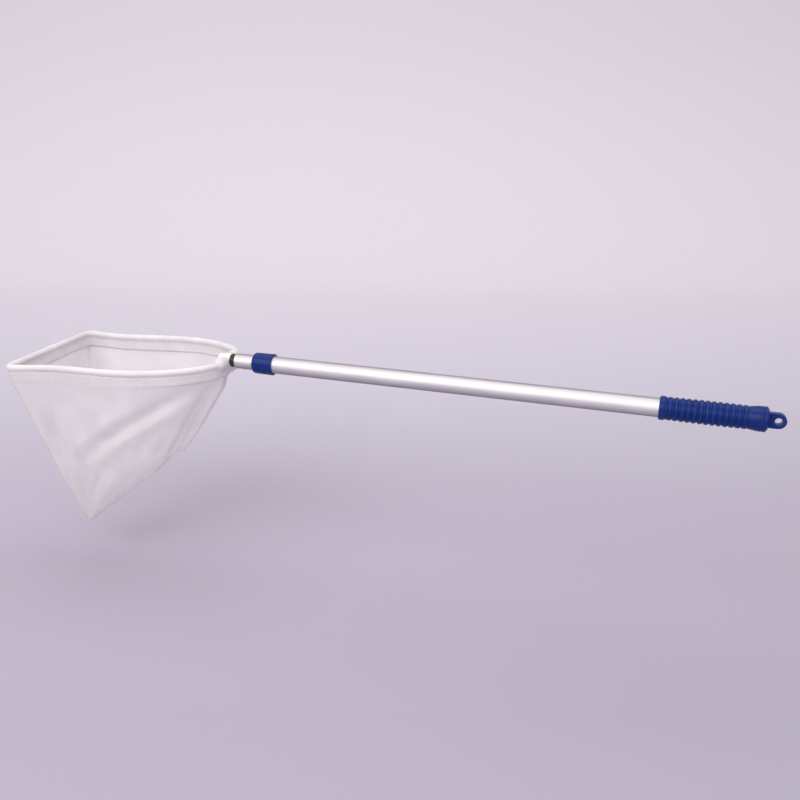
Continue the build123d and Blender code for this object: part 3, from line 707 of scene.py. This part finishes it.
def bag_relief(depth):
    """Outward displacement of each bag point in mm; depth is each row's -z."""
    drop = np.linspace(0, 1, BAG_ROWS)[:, None]
    turn = (np.arange(LOOP_COUNT) / LOOP_COUNT)[None, :]
    full_turn = 2 * math.pi
    body = np.sin(math.pi * drop) ** 0.8
    relief = np.zeros((BAG_ROWS, LOOP_COUNT))
    # under the hem the net lies against the outside of the canvas
    relief += 1.75 * np.exp(-(np.clip(depth - 8, 0, None) / 26.0) ** 2)
    # the front panel is drawn in, the side panels belly out
    relief += -4.5 * body * ridge(turn, 0.5, 0.07)
    relief += 3.5 * body * ridge(turn, 0.27, 0.10) + 3.0 * body * ridge(turn, 0.73, 0.10)
    for entry in FOLDS:
        relief += fold(drop, turn, *entry)
    # faint cloth waves, nowhere regular
    ease = np.clip(drop / 0.10, 0, 1) ** 1.5
    random = np.random.default_rng(21)
    for _ in range(22):
        cycles = random.integers(5, 26)
        phase = random.uniform(0, full_turn)
        drift = random.uniform(-9, 9)
        centre = random.uniform(0.1, 0.9)
        ripple = np.sin(full_turn * cycles * turn + phase + drift * drop * 3)
        relief += 0.16 * ripple * body * ease * np.exp(-((drop - centre) / 0.35) ** 2)
    # small gathers where the net is sewn to the hem
    gathers = np.sin(full_turn * 83 * turn + 3 * np.sin(full_turn * 7 * turn))
    gathers = gathers * (0.6 + 0.4 * np.sin(full_turn * 5 * turn))
    relief += 0.22 * gathers * np.exp(-((depth - 15.0) / 9.0) ** 2)
    # everything dies away at the tip
    return relief * np.clip((1 - drop) * 1.6, 0, 1)


def bag_surface():
    """Middle surface of the bag, the plan normals it was pushed along, its own normals."""
    rows = bag_rows()
    plan = np.array([plan_normals(row[:, :2], row[:, :2].mean(0)) for row in rows])
    middle = push_out(rows, plan, bag_relief(-rows[:, 0, 2][:, None]))
    around = np.roll(middle, -1, 1) - np.roll(middle, 1, 1)
    normals = unit(np.cross(around, np.gradient(middle, axis=0)))
    half = BAG_ROWS // 2
    outward = np.sign((normals[half, :, :2] * plan[half]).sum(1).mean())
    return middle, plan, normals * outward


BAG, BAG_PLAN_NORMALS, BAG_NORMALS = bag_surface()


# ---------------------------------------------------------------- bag objects
def add_cloth_uv(mesh, points):
    """UVs in metres: (x, z) on the side panels, (y, z) across the front and back."""
    layer = mesh.uv_layers.new(name="UVMap")
    uv = np.zeros((len(mesh.loops), 2), np.float32)
    for poly in mesh.polygons:
        on_side = abs(poly.normal.y) > abs(poly.normal.x) * 0.75
        for corner in poly.loop_indices:
            x, y, z = points[mesh.loops[corner].vertex_index]
            uv[corner] = (x, z) if on_side else (y, z)
    layer.data.foreach_set("uv", uv.ravel())


def build_bag():
    """The net as two skins joined at the top rim, each closed by a small cap at the tip."""
    skins = [to_frame(BAG + BAG_NORMALS * side * BAG_THICK / 2).reshape(-1, 3)
             for side in (1, -1)]
    size = LOOP_COUNT
    inner = BAG_ROWS * size         # index of the inner skin's first vertex
    last = (BAG_ROWS - 1) * size
    faces = []
    for i in range(BAG_ROWS - 1):
        for j in range(size):
            here, below, j2 = i * size, (i + 1) * size, (j + 1) % size
            faces.append((here + j, below + j, below + j2, here + j2))
            faces.append((inner + here + j, inner + here + j2,
                          inner + below + j2, inner + below + j))
    for j in range(size):
        j2 = (j + 1) % size
        faces.append((j, j2, inner + j2, inner + j))
    faces.append(tuple(range(last, last + size)))
    faces.append(tuple(range(inner + last, inner + last + size))[::-1])
    bag = make_object("mesh_bag_cloth", np.vstack(skins), faces, MATS["white_mesh"],
                      smooth=False)
    fix_normals(bag)
    shade_smooth(bag.data)
    add_cloth_uv(bag.data, mesh_points(bag))
    return bag


def seam_strip(name, column, width, thickness, side, start, material):
    """A strip down one column of the bag, from drop start to near the tip.
    Side is 1 for the outside face, -1 for the inside."""
    points_across = 9
    base = BAG_THICK / 2 + 0.12
    profile = np.linspace(-1, 1, points_across)
    crown = thickness * (1 - 0.55 * np.abs(profile) ** 3)
    across = np.linspace(-width / 2, width / 2, points_across)
    sections, uv = [], []
    run = 0.0
    previous = None
    for i in range(int(start * (BAG_ROWS - 1)), int(0.97 * (BAG_ROWS - 1)) + 1):
        ring = BAG[i]
        spacing = np.linalg.norm(np.roll(ring, -1, 0) - ring, axis=1).mean()
        reach = max(1, int(round(width / 2 / max(spacing, 1e-6))))
        reach = min(reach, LOOP_COUNT // 10)
        columns = (column + np.linspace(-reach, reach, points_across)) % LOOP_COUNT
        low = np.floor(columns).astype(int) % LOOP_COUNT
        part = (columns - np.floor(columns))[:, None]
        points = ring[low] * (1 - part) + ring[(low + 1) % LOOP_COUNT] * part
        outward = BAG_NORMALS[i][low] * side
        bottom = points + outward * base
        top = points + outward * (base + crown)[:, None]
        sections.append(np.vstack([bottom, top[::-1]]))
        centre = points.mean(0)
        if previous is not None:
            run += np.linalg.norm(centre - previous)
        previous = centre
        along = np.full(2 * points_across, run)
        uv.append(np.stack([along, np.r_[across, across[::-1]]], 1) * MM)
    verts = to_frame(np.array(sections)).reshape(-1, 3)
    faces = capped_tube_faces(len(sections), 2 * points_across)
    strip = make_object(name, verts, faces, MATS[material], np.vstack(uv))
    fix_normals(strip)
    return strip


# ---------------------------------------------------------------- stitches
STITCH_PITCH = 0.0042       # metres
STITCH_FILL = 0.72          # share of the pitch covered by thread
STITCH_RADIUS = 0.00042
STITCH_SIDES = 6
# (place along the stitch, share of the radius)
STITCH_PROFILE = [(0.0, 0.25), (0.22, 0.9), (0.5, 1.0), (0.78, 0.9), (1.0, 0.25)]


def stitch_verts(start, end, outward):
    """Rings of one short thread, bowed outwards."""
    sideways = unit(np.cross(unit(end - start), outward))
    up = np.cross(sideways, unit(end - start))
    verts = []
    for place, share in STITCH_PROFILE:
        bow = STITCH_RADIUS * 0.5 * math.sin(math.pi * place)
        centre = start + (end - start) * place + up * bow
        for j in range(STITCH_SIDES):
            angle = 2 * math.pi * j / STITCH_SIDES
            spoke = math.cos(angle) * sideways + math.sin(angle) * up
            verts.append(centre + STITCH_RADIUS * share * spoke)
    return verts


def stitch_faces():
    sides, rings = STITCH_SIDES, len(STITCH_PROFILE)
    faces = [(a, d, c, b) for a, b, c, d in tube_faces(rings, sides)]
    faces.append(tuple(range(sides))[::-1])
    faces.append(tuple(range((rings - 1) * sides, rings * sides)))
    return faces


def sample(points, run, at):
    return np.array([np.interp(at, run, points[:, axis]) for axis in range(3)])


def build_stitches(name, paths):
    """Rows of stitches; each path is (points, outward directions) in metres."""
    verts, faces = [], []
    one_stitch = stitch_faces()
    for points, outward in paths:
        run = arc_length(points)
        for i in range(int(run[-1] / STITCH_PITCH)):
            at = i * STITCH_PITCH
            start = sample(points, run, at)
            end = sample(points, run, at + STITCH_PITCH * STITCH_FILL)
            offset = len(verts)
            verts += stitch_verts(start, end, sample(outward, run, at))
            faces += [tuple(offset + index for index in face) for face in one_stitch]
    return make_object(name, verts, faces, MATS["thread"])


def band_stitch_path(sections, steps_from_edge):
    """Path on the band's face inside the bag, some section points up from its free edge."""
    size = sections.shape[1]
    j = size // 2 - steps_from_edge
    outward = unit(sections[:, j] - sections[:, size - 1 - j])
    return sections[:, j] + outward * 0.00012, outward


def net_stitch_path():
    """Path on the outside of the net just under the rod, broken at the socket."""
    row = int(np.argmin(np.abs(BAG[:, 0, 2] + 9.2)))
    ring = BAG[row]
    kept = ~((np.abs(ring[:, 1]) < 30.0) & (ring[:, 0] < 40))
    normals = BAG_PLAN_NORMALS[row][kept]
    points = to_frame(push_out(ring[kept], normals, 0.42))
    return points, unit(to_frame(push_out(ring[kept], normals, 2.0)) - points)


# ---------------------------------------------------------------- cloth parts
hem, hem_section_size = build_hem()
hem_sections = mesh_points(hem).astype(float).reshape(-1, hem_section_size, 3)
stitches = build_stitches("hem_stitches", [
    band_stitch_path(hem_sections, steps_from_edge=3),
    band_stitch_path(hem_sections, steps_from_edge=7),
    net_stitch_path(),
])
hem_back = build_hem_back()
bag = build_bag()
tape = seam_strip("bag_back_seam_tape", column=0, width=8.0, thickness=0.8, side=-1,
                  start=0.06, material="white_canvas")
# seams down the two front corners: near is the -y one, far the +y one
corner_seams = [
    seam_strip(name, column=int(np.argmax(LOOP[:, 0] + y_sign * LOOP[:, 1])), width=4.0,
               thickness=0.6, side=1, start=0.035, material="white_mesh")
    for name, y_sign in (("bag_corner_seam_near", -1), ("bag_corner_seam_far", 1))]

for cloth in (hem, hem_back, bag, tape, *corner_seams, stitches):
    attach(cloth, "head")
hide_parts("hem_sleeve")
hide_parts("mesh_bag")
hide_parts("bag_seam_tape")


# ---------------------------------------------------------------- stage
FLOOR_Z = CAD_BOX[0][2] - 0.05
SWEEP_HALF_WIDTH = 12.0
SWEEP_STEPS = 12


def build_backdrop():
    """Floor that sweeps up into a backdrop, turned to face the camera."""
    profile = [(-12.0, 0.0), (-3.5, 0.0)]
    for i in range(SWEEP_STEPS + 1):
        angle = math.radians(90 * i / SWEEP_STEPS)
        profile.append((2.0 + math.sin(angle), 1.0 - math.cos(angle)))
    profile.append((3.0, 4.5))
    verts = [(x, y, z) for x in (-SWEEP_HALF_WIDTH, SWEEP_HALF_WIDTH) for y, z in profile]
    count = len(profile)
    faces = [(i, count + i, count + i + 1, i + 1) for i in range(count - 1)]
    sweep = make_object("studio_sweep", verts, faces, studio_floor())
    turn = Matrix.Rotation(math.radians(18.7), 4, "Z")
    sweep.matrix_world = Matrix.Translation((-0.5, 0.0, FLOOR_Z)) @ turn
    return sweep


build_backdrop()


# ---------------------------------------------------------------- lights and world
LIGHT_TARGET = Vector((-0.55, 0.0, -0.05))


def area_light(name, place, size, power, color):
    light = bpy.data.lights.new(name, "AREA")
    light.shape = "RECTANGLE"
    light.size, light.size_y = size
    light.energy = power
    light.color = color
    lamp = bpy.data.objects.new(name, light)
    scene.collection.objects.link(lamp)
    lamp.location = place
    lamp.rotation_euler = (LIGHT_TARGET - Vector(place)).to_track_quat("-Z", "Y").to_euler()


area_light("key", place=(-1.2, -1.9, 1.5), size=(2.4, 1.8), power=32, color=(1.0, 0.985, 0.99))
area_light("fill", place=(0.9, -2.0, 0.9), size=(1.4, 1.4), power=9, color=(0.98, 0.98, 1.0))
area_light("top", place=(-0.6, 0.4, 2.3), size=(2.6, 1.6), power=16, color=(1.0, 0.99, 0.98))

studio = bpy.data.worlds.new("studio")
studio.use_nodes = True
background = studio.node_tree.nodes["Background"]
background.inputs["Color"].default_value = (0.96, 0.93, 0.97, 1.0)
background.inputs["Strength"].default_value = 0.85
scene.world = studio
scene.view_settings.view_transform = "Standard"
scene.view_settings.look = "None"


# ---------------------------------------------------------------- camera
camera_data = bpy.data.cameras.new("camera")
camera = bpy.data.objects.new("camera", camera_data)
scene.collection.objects.link(camera)
# columns: the camera's right, up and backward directions, then its place
camera.matrix_world = Matrix((
    (0.94662753, -0.11355186, 0.30166588, -0.15066),
    (0.32226135, 0.31416339, -0.89299999, -1.15248),
    (0.00662944, 0.94255363, 0.33398909, 0.39297),
    (0, 0, 0, 1)))
camera_data.sensor_width = 36.0
camera_data.lens = 41.0
camera_data.shift_x = 0.0492
camera_data.clip_start = 0.01
scene.camera = camera
